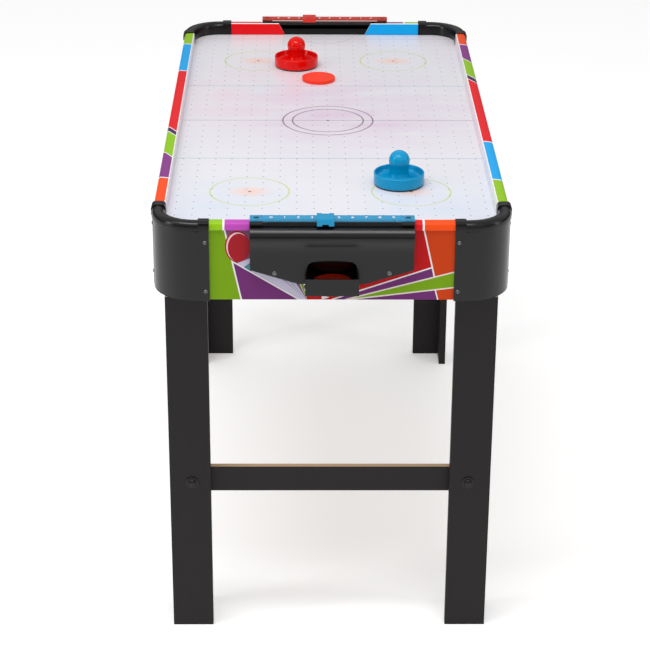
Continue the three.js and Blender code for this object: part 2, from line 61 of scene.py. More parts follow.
# Colours
def srgb(r, g, b):
    """A colour given as 0 to 255 screen values, made linear."""

    def line(c):
        c /= 255
        return c / 12.92 if c <= 0.04045 else ((c + 0.055) / 1.055) ** 2.4

    return (line(r), line(g), line(b), 1.0)


def shaded(colour, factor):
    """The colour made darker or lighter, with no channel above full."""
    return tuple(min(c * factor, 1) for c in colour[:3]) + (1.0,)


LIME = srgb(142, 192, 18)
PURPLE = srgb(132, 56, 132)
MAGENTA = srgb(186, 74, 178)
MAUVE = srgb(150, 96, 132)
RED = srgb(226, 16, 24)
ORANGE = srgb(240, 76, 12)
BLUE = srgb(14, 164, 232)
INK = srgb(70, 34, 84)
WHITE = srgb(244, 240, 240)
CREAM = srgb(238, 226, 214)
TEAL = srgb(90, 160, 176)
LAVENDER = srgb(206, 200, 222)
DISC = srgb(198, 34, 48)
PINK = srgb(244, 208, 214)


# Shader nodes
MIX_A, MIX_B, MIX_RESULT = 6, 7, 2  # the colour sockets of a Mix node
EDGE_ROUNDING = 0.0004
BEVEL_SAMPLES = 4
BUMP_DISTANCE = 0.0002


class Graph:
    """A material's node tree, with short ways to add what the materials below share."""

    def __init__(self, name):
        self.material = bpy.data.materials.new(name)
        self.material.use_nodes = True
        self.tree = self.material.node_tree
        self.tree.nodes.clear()
        self.out = self.add("ShaderNodeOutputMaterial")
        self.shader = self.add("ShaderNodeBsdfPrincipled")
        self.link(self.shader.outputs[0], self.out.inputs[0])
        self.place = self.add("ShaderNodeTexCoord").outputs["Object"]
        self.axes = self.add("ShaderNodeSeparateXYZ")
        self.link(self.place, self.axes.inputs[0])
        self.x, self.y, self.z = self.axes.outputs

    def add(self, kind, **settings):
        node = self.tree.nodes.new(kind)
        for key, value in settings.items():
            setattr(node, key, value)
        return node

    def link(self, source, target):
        """Links a socket, or sets a plain number or colour straight on the target."""
        if hasattr(source, "links"):
            self.tree.links.new(source, target)
        else:
            target.default_value = source

    def math(self, operation, a, b=0.0, clamp=False):
        node = self.add("ShaderNodeMath", operation=operation, use_clamp=clamp)
        self.link(a, node.inputs[0])
        self.link(b, node.inputs[1])
        return node.outputs[0]

    def mix(self, amount, a, b):
        node = self.add("ShaderNodeMix", data_type="RGBA")
        self.link(amount, node.inputs[0])
        self.link(a, node.inputs[MIX_A])
        self.link(b, node.inputs[MIX_B])
        return node.outputs[MIX_RESULT]

    def layer(self, colour, mask, strength, ink):
        """Ink over a colour, as strong as the mask times the strength."""
        return self.mix(self.math("MULTIPLY", mask, strength), colour, ink)

    def noise(self, scale, detail=3.0, stretch=(1, 1, 1)):
        mapping = self.add("ShaderNodeMapping")
        mapping.inputs["Scale"].default_value = stretch
        self.link(self.place, mapping.inputs[0])
        node = self.add("ShaderNodeTexNoise")
        node.inputs["Scale"].default_value = scale
        node.inputs["Detail"].default_value = detail
        self.link(mapping.outputs[0], node.inputs["Vector"])
        return node.outputs[0]

    def spread(self, value, low, high):
        node = self.add("ShaderNodeMapRange")
        self.link(value, node.inputs["Value"])
        node.inputs["To Min"].default_value = low
        node.inputs["To Max"].default_value = high
        return node.outputs[0]

    def distance(self, from_x, from_y, x=None, y=None):
        """Distance in plan from a point, or between that point and other values of x and y."""
        dx = self.math("SUBTRACT", self.x if x is None else x, from_x)
        dy = self.math("SUBTRACT", self.y if y is None else y, from_y)
        squares = self.math("ADD", self.math("MULTIPLY", dx, dx), self.math("MULTIPLY", dy, dy))
        return self.math("SQRT", squares)

    def thin(self, value, at, half):
        """One within half of that value, and zero elsewhere."""
        return self.math("LESS_THAN", self.math("ABSOLUTE", self.math("SUBTRACT", value, at)), half)

    def glow(self, value, reach):
        """One at zero, fading to zero at the reach."""
        return self.math("SUBTRACT", 1.0, self.math("DIVIDE", value, reach), clamp=True)

    def bands(self, value, low, high, bands):
        """Flat bands of colour along a value: bands is a list of (start, colour)."""
        ramp = self.add("ShaderNodeValToRGB")
        ramp.color_ramp.interpolation = "CONSTANT"
        stops = ramp.color_ramp.elements
        for i, (start, colour) in enumerate(bands):
            at = min(max((start - low) / (high - low), 0.0), 1.0)
            stop = stops[i] if i < 2 else stops.new(at)
            stop.position = at
            stop.color = colour
        scaled = self.math("DIVIDE", self.math("SUBTRACT", value, low), high - low)
        self.link(scaled, ramp.inputs[0])
        return ramp.outputs[0]

    def finish(self, colour, roughness, bump=0.0, bump_scale=900.0, edge=EDGE_ROUNDING, **sockets):
        self.link(colour, self.shader.inputs["Base Color"])
        self.link(roughness, self.shader.inputs["Roughness"])
        for key, value in sockets.items():
            self.shader.inputs[key.replace("_", " ")].default_value = value
        normal = None
        if edge:
            rounding = self.add("ShaderNodeBevel", samples=BEVEL_SAMPLES)
            rounding.inputs["Radius"].default_value = edge
            normal = rounding.outputs[0]
        if bump:
            node = self.add("ShaderNodeBump")
            node.inputs["Strength"].default_value = bump
            node.inputs["Distance"].default_value = BUMP_DISTANCE
            self.link(self.noise(bump_scale, 4.0), node.inputs["Height"])
            if normal:
                self.link(normal, node.inputs["Normal"])
            normal = node.outputs[0]
        if normal:
            self.link(normal, self.shader.inputs["Normal"])
        return self.material


CUT_EDGE_FACING = 0.7  # how far a face must look up or down to show raw board


def plastic(name, colour, roughness, grain=0.25, variation=0.12, **sockets):
    """Moulded plastic: a fine grain and slow changes of tone and gloss."""
    g = Graph(name)
    tone = g.mix(g.noise(22.0), shaded(colour, 1 - variation), shaded(colour, 1 + variation))
    rough = g.spread(g.noise(60.0, 4.0), roughness - 0.05, roughness + 0.07)
    return g.finish(tone, rough, bump=grain, bump_scale=1400.0, **sockets)


def fibreboard(name, colour):
    """Raw fibreboard, with short fibres."""
    g = Graph(name)
    fibres = g.noise(700.0, 5.0, (1, 0.25, 1))
    tone = g.mix(fibres, shaded(colour, 0.72), colour)
    return g.finish(tone, 0.85, bump=0.5, bump_scale=900.0)


def laminate(name, colour, raw):
    """A charcoal film with a faint wood figure; the cut edges that face up or down show raw board."""
    g = Graph(name)
    figure = g.noise(55.0, 5.0, (9, 9, 0.35))
    tone = g.mix(figure, shaded(colour, 0.8), shaded(colour, 1.35))
    facing = g.add("ShaderNodeSeparateXYZ")
    g.link(g.add("ShaderNodeNewGeometry").outputs["True Normal"], facing.inputs[0])
    cut_edge = g.math("GREATER_THAN", g.math("ABSOLUTE", facing.outputs[2]), CUT_EDGE_FACING)
    board = g.mix(g.noise(500.0, 4.0), shaded(raw, 0.8), raw)
    rough = g.spread(figure, 0.42, 0.56)
    full = g.mix(cut_edge, tone, board)
    return g.finish(full, rough, bump=0.25, bump_scale=700.0, Specular_IOR_Level=0.28)


def printed(name, colour, roughness=0.32):
    """Printed film over board: even ink with a trace of orange peel."""
    g = Graph(name)
    tone = g.mix(g.noise(35.0), shaded(colour, 0.93), colour)
    rough = g.spread(g.noise(90.0), roughness - 0.04, roughness + 0.08)
    return g.finish(tone, rough, bump=0.08, bump_scale=500.0, Specular_IOR_Level=0.12)


def clear_plastic(name, colour):
    """The score bars' tinted, partly clear plastic."""
    return plastic(name, colour, 0.12, grain=0.02, variation=0.03, Transmission_Weight=0.45, IOR=1.46)


def glossy(name, colour, level):
    """The pushers' polished plastic."""
    return plastic(name, colour, 0.16, grain=0.02, variation=0.04, Specular_IOR_Level=level)


CHARCOAL = plastic("charcoal_moulding", srgb(12, 9, 10), 0.24, grain=0.12, Specular_IOR_Level=0.36)
BLACK = plastic("black_moulding", srgb(20, 18, 18), 0.32, grain=0.2, Specular_IOR_Level=0.4)
STEEL = plastic("blackened_steel", srgb(44, 42, 42), 0.3, grain=0.1, Metallic=0.8)
SCREW = plastic("bright_black_screw", srgb(112, 110, 112), 0.24, grain=0.05, Metallic=1.0)
MDF = fibreboard("raw_board", srgb(186, 160, 132))
HARDBOARD = fibreboard("hardboard", srgb(140, 104, 74))
LEG_FILM = laminate("leg_film", srgb(18, 13, 14), srgb(196, 168, 136))
FELT = plastic("felt", srgb(40, 40, 42), 0.95, grain=1.0, Sheen_Weight=0.4)
PUSHER_BLUE = glossy("pusher_blue_gloss", srgb(0, 146, 196), 0.26)
PUSHER_RED = glossy("pusher_red_gloss", srgb(222, 4, 0), 0.24)
PUCK_RED = plastic("puck_red", srgb(248, 56, 26), 0.36, grain=0.12, variation=0.05, Specular_IOR_Level=0.2)
SLIDER_BLUE = plastic(
    "slider_blue_gloss", srgb(0, 140, 186), 0.2, grain=0.03, variation=0.05, Specular_IOR_Level=0.3
)
SLIDER_RED = plastic("slider_red_gloss", srgb(214, 36, 22), 0.2, grain=0.03, variation=0.05)
BAR_BLUE = clear_plastic("bar_blue_clear", srgb(34, 172, 222))
BAR_RED = clear_plastic("bar_red_clear", srgb(226, 62, 40))
DIGIT_INK = printed("digit_ink", WHITE, 0.4)


# Rails: printed bands along the table, a white line at the inner edge and a pale wall
RAIL_TOP_WIDTH = 17 * MM
RAIL_REACH = 0.431
END_RAIL_REACH = 0.18
SIDE_LINE, END_LINE = 1.9 * MM, 3.4 * MM  # how far the white line reaches from the wall
WALL_SKIN = 0.5 * MM  # what still counts as the wall
SLIGHT_LEAN, STEEP_LEAN = 0.3, 1.8
LEFT_BANDS = [
    (-0.430, ORANGE), (-0.329, WHITE), (-0.326, PURPLE), (-0.228, WHITE), (-0.225, LIME),
    (-0.128, WHITE), (-0.125, INK), (-0.110, WHITE), (-0.107, RED), (0.196, WHITE), (0.199, BLUE),
    (0.356, WHITE), (0.359, LIME),
]
RIGHT_BANDS = [
    (-0.430, LIME), (-0.336, WHITE), (-0.333, BLUE), (-0.165, WHITE), (-0.162, RED), (0.142, WHITE),
    (0.145, INK), (0.166, WHITE), (0.169, LIME), (0.262, WHITE), (0.265, PURPLE), (0.356, WHITE),
    (0.359, ORANGE),
]
FRONT_TOP = [(-0.18, LIME), (-0.152, WHITE), (-0.150, MAGENTA), (0.0, RED), (0.124, WHITE), (0.127, ORANGE)]
REAR_TOP = [(-0.18, RED), (0.0, RED), (0.105, PURPLE), (0.143, WHITE), (0.145, LIME)]


def rail_finish(g, colour, level):
    rough = g.spread(g.noise(80.0), 0.24, 0.36)
    return g.finish(colour, rough, bump=0.06, bump_scale=500.0, edge=0.0008, Specular_IOR_Level=level)


def side_rail_material(name, bands, side, steep_y, steep_half):
    """Bands that lean a little across the rail, and a lot within steep_half of steep_y."""
    g = Graph(name)
    across = g.math("ABSOLUTE", g.x)
    from_middle = g.math("SUBTRACT", g.x, side * (WALL_X + RAIL_TOP_WIDTH / 2))
    steep = g.thin(g.y, steep_y, steep_half)
    lean = g.math("ADD", g.math("MULTIPLY", steep, STEEP_LEAN - SLIGHT_LEAN), SLIGHT_LEAN)
    along = g.math("ADD", g.y, g.math("MULTIPLY", from_middle, lean))
    colour = g.bands(along, -RAIL_REACH, RAIL_REACH, bands)
    pale = g.mix(0.82, colour, srgb(240, 238, 246))
    on_line = g.math("LESS_THAN", across, WALL_X + SIDE_LINE)
    on_wall = g.math("LESS_THAN", across, WALL_X + WALL_SKIN)
    toned = g.mix(g.noise(30.0), colour, g.mix(0.06, colour, INK))
    return rail_finish(g, g.mix(on_wall, g.mix(on_line, toned, WHITE), pale), 0.15)


def end_rail_material(name, top_bands, wall_bands):
    """Bands along an end rail, a white line at its inner edge, and the wall's own two colours."""
    g = Graph(name)
    across = g.math("ABSOLUTE", g.y)
    wall_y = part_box("end_rail_rear_right")[0].y
    top = g.bands(g.x, -END_RAIL_REACH, END_RAIL_REACH, top_bands)
    wall = g.bands(g.x, -END_RAIL_REACH, END_RAIL_REACH, wall_bands)
    on_wall = g.math("LESS_THAN", across, wall_y + WALL_SKIN)
    on_line = g.math("LESS_THAN", across, wall_y + END_LINE)
    return rail_finish(g, g.mix(on_wall, g.mix(on_line, top, WHITE), wall), 0.18)


RAIL_LEFT = side_rail_material("rail_left_print", LEFT_BANDS, -1, -0.17, 0.085)
RAIL_RIGHT = side_rail_material("rail_right_print", RIGHT_BANDS, 1, 0.2, 0.09)
END_RAIL_FRONT = end_rail_material("end_rail_front_print", FRONT_TOP, [(-0.18, BLUE), (0.0, RED)])
END_RAIL_REAR = end_rail_material("end_rail_rear_print", REAR_TOP, [(-0.18, RED), (0.0, BLUE)])


# Playing surface
CIRCLE_X, CIRCLE_Y, CIRCLE_R = 0.1185, 0.327, 0.058
WARM_SQUASH, WARM_REACH = 1.5, 0.6 * CIRCLE_R
LINE_Y, GOAL_Y = 0.182, 0.463
CREASE_Y, CREASE_R = GOAL_Y + 0.021, 0.049
RING_OUT, RING_IN = 0.0725, 0.057
FAINT, FINE, BOLD = 0.9 * MM, 1.0 * MM, 1.1 * MM  # half the width of a line
SPOT_R, CENTRE_SPOT_R = 2.4 * MM, 2.6 * MM


def surface_washes(g):
    """A pale ground with soft lilac, pink and blue washes."""
    colour = g.mix(g.noise(6.0), srgb(230, 228, 233), srgb(223, 222, 229))
    brush = g.noise(9.0, 6.0, (1.0, 2.6, 1.0))
    flecks = g.noise(14.0, 5.0)
    lilac, pink, blue = srgb(216, 190, 216), srgb(236, 196, 212), srgb(190, 212, 236)
    washes = [  # centre x and y, reach, texture and the range it is spread over, strength, ink
        (0.03, 0.04, 0.26, brush, -0.7, 1.9, 0.85, lilac),
        (-0.12, 0.14, 0.22, flecks, -0.8, 1.6, 0.6, pink),
        (-0.16, -0.40, 0.16, brush, 0.0, 1.0, 0.7, blue),
        (0.16, -0.40, 0.16, brush, 0.0, 1.0, 0.7, blue),
    ]
    for x, y, reach, texture, low, high, strength, ink in washes:
        near = g.glow(g.distance(x, y), reach)
        wash = g.math("MULTIPLY", near, g.spread(texture, low, high), clamp=True)
        colour = g.layer(colour, wash, strength, ink)
    return colour


def rink_lines(g, colour, ay):
    """Lines across the table and a crease in front of each goal."""
    lines = (
        (g.thin(ay, LINE_Y, BOLD), srgb(150, 184, 196)),
        (g.thin(g.y, 0.0, FINE), srgb(150, 138, 154)),
        (g.thin(ay, GOAL_Y, FINE), srgb(206, 170, 180)),
    )
    for mask, ink in lines:
        colour = g.layer(colour, mask, 0.85, ink)
    crease = g.thin(g.distance(0.0, CREASE_Y, y=ay), CREASE_R, FINE)
    inside = g.math("LESS_THAN", ay, GOAL_Y)
    return g.layer(colour, g.math("MULTIPLY", crease, inside), 0.8, srgb(214, 170, 182))


def face_off_circles(g, colour, ax, ay):
    """Four circles, each with a warm glow and a spot at its middle."""
    spot = g.distance(CIRCLE_X, CIRCLE_Y, x=ax, y=ay)
    squashed_y = g.math("MULTIPLY", g.math("SUBTRACT", ay, CIRCLE_Y), WARM_SQUASH)
    warm = g.glow(g.distance(CIRCLE_X, 0.0, x=ax, y=squashed_y), WARM_REACH)
    colour = g.layer(colour, warm, 0.75, srgb(250, 196, 168))
    colour = g.layer(colour, g.thin(spot, CIRCLE_R, FAINT), 0.9, srgb(186, 208, 84))
    return g.mix(g.math("LESS_THAN", spot, SPOT_R), colour, srgb(120, 116, 130))


def centre_rings(g, colour):
    middle = g.distance(0.0, 0.0)
    for radius in (RING_OUT, RING_IN):
        colour = g.mix(g.thin(middle, radius, BOLD), colour, srgb(128, 104, 126))
    return g.mix(g.math("LESS_THAN", middle, CENTRE_SPOT_R), colour, srgb(110, 96, 116))


def surface_material():
    """A pale printed film: soft colour washes, thin rink lines, face-off circles and a centre ring."""
    g = Graph("playing_surface_print")
    ax, ay = g.math("ABSOLUTE", g.x), g.math("ABSOLUTE", g.y)
    colour = surface_washes(g)
    colour = rink_lines(g, colour, ay)
    colour = face_off_circles(g, colour, ax, ay)
    colour = centre_rings(g, colour)
    rough = g.spread(g.noise(40.0), 0.26, 0.38)
    return g.finish(colour, rough, bump=0.03, bump_scale=300.0, edge=0, Coat_Weight=0.15)


SURFACE = surface_material()
# The walls of the air holes show the board inside, in a darker grey that also stands in for the shade down
# the holes (painted shade)
CORE_WITH_PAINTED_SHADE = fibreboard("surface_core", srgb(128, 124, 142))


# Mesh helpers
SMOOTH_BELOW = math.radians(35.0)
WELD = 1e-6


def linked(name, data):
    """A new object in the scene."""
    thing = bpy.data.objects.new(name, data)
    bpy.context.scene.collection.objects.link(thing)
    return thing


def evaluated_mesh(thing):
    return bpy.data.meshes.new_from_object(thing.evaluated_get(bpy.context.evaluated_depsgraph_get()))


def baked(name, curve):
    """The mesh that a curve or a text makes."""
    maker = linked(name, curve)
    shape = evaluated_mesh(maker)
    bpy.data.objects.remove(maker)
    return shape


def object_from(name, mesh, materials, body="table"):
    piece = linked(name, mesh)
    for material in materials:
        mesh.materials.append(material)
    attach(piece, body)
    return piece


def mesh_from(name, bm):
    mesh = bpy.data.meshes.new(name)
    bmesh.ops.recalc_face_normals(bm, faces=bm.faces)
    bm.to_mesh(mesh)
    bm.free()
    return mesh


def smoothing_group():
    """Geometry nodes that weld, then shade faces smooth and keep the edges over SMOOTH_BELOW sharp."""
    group = bpy.data.node_groups.new("smooth_by_angle", "GeometryNodeTree")
    group.interface.new_socket("Geometry", in_out="INPUT", socket_type="NodeSocketGeometry")
    group.interface.new_socket("Geometry", in_out="OUTPUT", socket_type="NodeSocketGeometry")
    start = group.nodes.new("NodeGroupInput")
    end = group.nodes.new("NodeGroupOutput")
    weld = group.nodes.new("GeometryNodeMergeByDistance")
    weld.inputs["Distance"].default_value = WELD
    angle = group.nodes.new("GeometryNodeInputMeshEdgeAngle")
    soft = group.nodes.new("FunctionNodeCompare")
    soft.data_type = "FLOAT"
    soft.operation = "LESS_THAN"
    soft.inputs[1].default_value = SMOOTH_BELOW
    faces = group.nodes.new("GeometryNodeSetShadeSmooth")
    faces.domain = "FACE"
    edges = group.nodes.new("GeometryNodeSetShadeSmooth")
    edges.domain = "EDGE"
    group.links.new(start.outputs[0], weld.inputs["Geometry"])
    group.links.new(weld.outputs[0], faces.inputs["Geometry"])
    group.links.new(faces.outputs[0], edges.inputs["Geometry"])
    group.links.new(angle.outputs[0], soft.inputs[0])
    group.links.new(soft.outputs[0], edges.inputs["Shade Smooth"])
    group.links.new(edges.outputs[0], end.inputs[0])
    return group


SMOOTHING = smoothing_group()


def smooth_by_angle(piece):
    piece.modifiers.new("smooth", "NODES").node_group = SMOOTHING


def ring(bm, radius, z, segments):
    """A ring of vertices about Z, or one vertex where the radius is nothing."""
    if radius < WELD:
        return [bm.verts.new((0, 0, z))]
    turns = (math.tau * i / segments for i in range(segments))
    return [bm.verts.new((radius * math.cos(a), radius * math.sin(a), z)) for a in turns]


def skin(bm, rings, segments):
    """Faces from each ring to the next."""
    for low, high in zip(rings, rings[1:]):
        for i in range(segments):
            j = (i + 1) % segments
            corners = [low[i % len(low)], low[j % len(low)], high[j % len(high)], high[i % len(high)]]
            bm.faces.new(list(dict.fromkeys(corners)))


def turned(profile, segments=96):
    """A closed body turned about Z from a profile of (radius, height), which starts and ends on the axis."""
    bm = bmesh.new()
    skin(bm, [ring(bm, radius, z, segments) for radius, z in profile], segments)
    for face in bm.faces:
        face.smooth = True
    return bm


def rounded(points, radius, steps=5):
    """The same profile with each inner corner rounded by a short curve."""
    result = [points[0]]
    for i in range(1, len(points) - 1):
        before, here, after = (Vector(points[k]) for k in (i - 1, i, i + 1))
        r = min(radius, (before - here).length * 0.45, (after - here).length * 0.45)
        a = here + (before - here).normalized() * r
        b = here + (after - here).normalized() * r
        for k in range(steps + 1):
            t = k / steps
            result.append(tuple(a * (1 - t) ** 2 + here * 2 * t * (1 - t) + b * t**2))
    result.append(points[-1])
    return result


def plate(name, loops, z0, z1):
    """A flat plate from closed outlines: the first is its edge and the rest are its holes."""
    curve = bpy.data.curves.new(name, "CURVE")
    curve.dimensions = "2D"
    curve.fill_mode = "BOTH"
    curve.extrude = (z1 - z0) / 2
    for loop in loops:
        spline = curve.splines.new("POLY")
        spline.points.add(len(loop) - 1)
        for point, (x, y) in zip(spline.points, loop):
            point.co = (x, y, 0, 1)
        spline.use_cyclic_u = True
    shape = baked(name, curve)
    shape.transform(Matrix.Translation((0, 0, (z0 + z1) / 2)))
    bm = bmesh.new()
    bm.from_mesh(shape)
    bmesh.ops.remove_doubles(bm, verts=bm.verts, dist=WELD)
    bpy.data.meshes.remove(shape)
    return mesh_from(name, bm)


# Playing surface with its air holes
HOLE_PITCH_X, HOLE_PITCH_Y = 24.8 * MM, 26.4 * MM
HOLE_COLUMNS, HOLE_ROWS = 9, 18  # on each side of the middle
HOLE_R = 1.15 * MM
HOLE_SIDES = 10
FIELD_X, FIELD_Y, FIELD_CORNER = 0.185, 0.437, 0.052  # the holes keep inside this rounded rectangle
CORNER_R = 0.046


def rounded_rectangle(half_x, half_y, radius, steps=16):
    points = []
    for quarter, (sx, sy) in enumerate(((1, 1), (-1, 1), (-1, -1), (1, -1))):
        for i in range(steps + 1):
            a = math.pi / 2 * (quarter + i / steps)
            centre = (sx * (half_x - radius), sy * (half_y - radius))
            points.append((centre[0] + radius * math.cos(a), centre[1] + radius * math.sin(a)))
    return points


def air_hole(x, y):
    turns = (-math.tau * k / HOLE_SIDES for k in range(HOLE_SIDES))
    return [(x + HOLE_R * math.cos(a), y + HOLE_R * math.sin(a)) for a in turns]


def air_holes():
    for row in range(-HOLE_ROWS, HOLE_ROWS + 1):
        for column in range(-HOLE_COLUMNS, HOLE_COLUMNS + 1):
            x, y = column * HOLE_PITCH_X, row * HOLE_PITCH_Y
            corner = Vector((max(abs(x) - FIELD_X, 0), max(abs(y) - FIELD_Y, 0)))
            if corner.length < FIELD_CORNER:
                yield air_hole(x, y)


def make_playfield():
    edge = rounded_rectangle(PLAY_HIGH.x, PLAY_HIGH.y, CORNER_R)
    mesh = plate("playing_surface", [edge, *air_holes()], PLAY_LOW.z, PLAY_HIGH.z)
    for face in mesh.polygons:
        face.material_index = 0 if abs(face.normal.z) > 0.5 else 1
    piece = object_from("playing_surface", mesh, [SURFACE, CORE_WITH_PAINTED_SHADE])
    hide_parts("playfield")


make_playfield()


# Printed patterns on the boards: thin films, each one flat colour with a crisp edge
FILM = 0.12 * MM
FILM_STEP = 0.012 * MM
FILM_BASE = 0.02 * MM
# The inks on the upright boards are darkened by these factors: painted shade, as the boards take less light
# than the rail tops
BOARD_PAINTED_SHADE, PALE_PAINTED_SHADE = 0.66, 0.9
PALE_INKS = ("white", "cream", "lavender", "pink")
FILMS = {
    "lime": LIME,
    "purple": PURPLE,
    "magenta": MAGENTA,
    "mauve": MAUVE,
    "red": RED,
    "orange": ORANGE,
    "blue": BLUE,
    "white": WHITE,
    "cream": CREAM,
    "teal": TEAL,
    "lavender": LAVENDER,
    "disc": DISC,
    "pink": PINK,
}


def board_ink(name, colour):
    """The boards' inks are darker than the rails' as painted shade on the upright boards, and the pale ones
    less so.
    """
    return printed(f"ink_{name}", shaded(colour, PALE_PAINTED_SHADE if name in PALE_INKS else BOARD_PAINTED_SHADE))


BOARD_INKS_WITH_PAINTED_SHADE = {name: board_ink(name, colour) for name, colour in FILMS.items()}
INK_ORDER = list(BOARD_INKS_WITH_PAINTED_SHADE)


def stripe(a, b, width=2.2):
    """A straight line of that width from a to b, as an outline."""
    (ax, az), (bx, bz) = a, b
    length = math.hypot(bx - ax, bz - az)
    nx = -(bz - az) / length * width / 2
    nz = (bx - ax) / length * width / 2
    return [(ax + nx, az + nz), (bx + nx, bz + nz), (bx - nx, bz - nz), (ax - nx, az - nz)]


def ellipse(cx, cz, rx, rz, steps=48):
    turns = (math.tau * i / steps for i in range(steps))
    return [(cx + rx * math.cos(a), cz + rz * math.sin(a)) for a in turns]


def clipped(points, low_x, high_x, low_z, high_z):
    """The part of a convex outline inside a rectangle."""
    sides = [(0, low_x, 1), (0, high_x, -1), (1, low_z, 1), (1, high_z, -1)]
    for axis, limit, sign in sides:
        kept = []
        for here, after in zip(points, points[1:] + points[:1]):
            a, b = sign * (here[axis] - limit), sign * (after[axis] - limit)
            if a >= 0:
                kept.append(here)
            if a * b < 0:
                t = a / (a - b)
                kept.append(tuple(h + (f - h) * t for h, f in zip(here, after)))
        points = kept
    return points


def film(bm, points, place, out):
    """The faces of one flat film, from just over the board to that height."""
    base = [bm.verts.new(place(a * MM, z * MM, FILM_BASE)) for a, z in points]
    top = [bm.verts.new(place(a * MM, z * MM, out)) for a, z in points]
    after = [(i + 1) % len(points) for i in range(len(points))]
    walls = [(base[i], base[j], top[j], top[i]) for i, j in enumerate(after)]
    return [bm.faces.new(corners) for corners in (top, base[::-1], *walls)]


def print_on(name, shapes, areas, place):
    """Films in order, each shape above the last and kept inside the areas. Points are millimetres
    along and up the board; place(along, up, out) gives the point in the frame, with out measured
    from the board's face."""
    bm = bmesh.new()
    for level, (ink, outline) in enumerate(shapes):
        for area in areas:
            points = clipped(outline, *area)
            if len(points) < 3:
                continue
            for face in film(bm, points, place, FILM + level * FILM_STEP):
                face.material_index = INK_ORDER.index(ink)
    object_from(name, mesh_from(name, bm), list(BOARD_INKS_WITH_PAINTED_SHADE.values()))


# The boards' patterns, in millimetres from the middle of the board and up from the floor
LOW, HIGH = BOARD_LOW.z / MM, BOARD_HIGH.z / MM
PATTERN_TOP = 660
APEX = (-35, LOW)
LIME_EDGE = [(-151.5, PATTERN_TOP), (-127, LOW)]
FAN_RIDGE = [
    ("lavender", -113, 586.5),
    ("mauve", -88, 592),
    ("lavender", -86, 592),
    ("teal", -77, 592),
    ("lavender", -75, 592),
    ("mauve", -64, 592),
    ("cream", -56, 592),
    ("lime", -53, 592),
    ("white", -46, 592),
    ("red", -42, 592),
]
END_GROUND = [
    ("lavender", [(-180, LOW), (180, LOW), (180, HIGH), (-180, HIGH)]),
    ("mauve", [(-152, HIGH), (-100, HIGH), (-100, 612), (-140, 596)]),
    ("lime", [(-175, LOW), LIME_EDGE[1], LIME_EDGE[0], (-175, PATTERN_TOP)]),
    ("purple", [(-138, 601), (-113, 586), (-46, LOW), (-127, LOW)]),
    ("teal", [(-124, 592.5), (-112, 601), (-112, 586.5)]),
]
END_LEFT = [
    ("white", stripe(*LIME_EDGE)),
    ("white", stripe((-138, 601), (-46, LOW), 1.8)),
    ("disc", ellipse(-131.5, 624, 17.5, 23.5)),
    ("pink", ellipse(-131.2, 623.6, 15.8, 21.6)),
    ("disc", ellipse(-129.6, 622.2, 15.4, 21.2)),
]
END_RIGHT = [
    ("red", [(-35, LOW), (-42, 600), (0, 600), (125, PATTERN_TOP), (143.5, 578), (0, LOW)]),
    ("red", [(0, 590), (60, 640), (126, 656), (143.5, 578), (10, LOW)]),
    ("orange", [(125.5, PATTERN_TOP), (180, PATTERN_TOP), (180, LOW), (151, LOW)]),
    ("purple", [(0, LOW), (140, 593), (143.5, 578.5), (19, LOW)]),
    ("lime", [(19, LOW), (175, 587), (175, 563), (23, LOW)]),
    ("purple", [(23, LOW), (175, 563), (175, LOW)]),
    ("orange", [(145, 559), (180, 563.5), (180, LOW), (149, LOW)]),
    ("white", stripe((125, PATTERN_TOP), (143.5, 578))),
    ("white", stripe((0, LOW), (140.5, 593), 2.0)),
    ("cream", stripe((19, LOW), (175, 587), 2.0)),
    ("cream", stripe((23, LOW), (175, 563), 2.0)),
    ("white", stripe((145, 559), (149, LOW), 1.8)),
    ("white", [(-14, 551), (-3, 547.5), (-14, LOW)]),
]


def end_pattern():
    """A fan of wedges from a point below the hood, a disc on the left, and long bands on the right."""
    fan = [
        (ink, [(x, z), (next_x, next_z), APEX])
        for (ink, x, z), (_, next_x, next_z) in zip(FAN_RIDGE, FAN_RIDGE[1:])
    ]
    return END_GROUND + fan + END_LEFT + END_RIGHT


SIDE_BLOCKS = [
    "lime", "purple", "orange", "red", "blue", "lime", "magenta", "red", "blue", "purple", "orange", "lime",
]
SIDE_LEANS = [26, -18, 34, -30, 14, -40, 40, -14, 30, -34, 18]  # one for each cut between two blocks
SIDE_MARGIN = 6
SIDE_STRIPE = 2.4


def side_pattern():
    """Blocks the whole length of a side, with slanted cuts and a white line along each cut."""
    reach = RAIL_END_Y / MM + SIDE_MARGIN
    width = 2 * reach / len(SIDE_BLOCKS)
    cuts = []
    for i, lean in enumerate([0, *SIDE_LEANS, 0]):
        x = -reach + width * i
        cuts.append(((x + lean, LOW), (x - lean, PATTERN_TOP)))
    blocks = [
        (ink, [left[0], right[0], right[1], left[1]])
        for ink, left, right in zip(SIDE_BLOCKS, cuts, cuts[1:])
    ]
    return blocks + [("white", stripe(*cut, SIDE_STRIPE)) for cut in cuts[1:-1]]


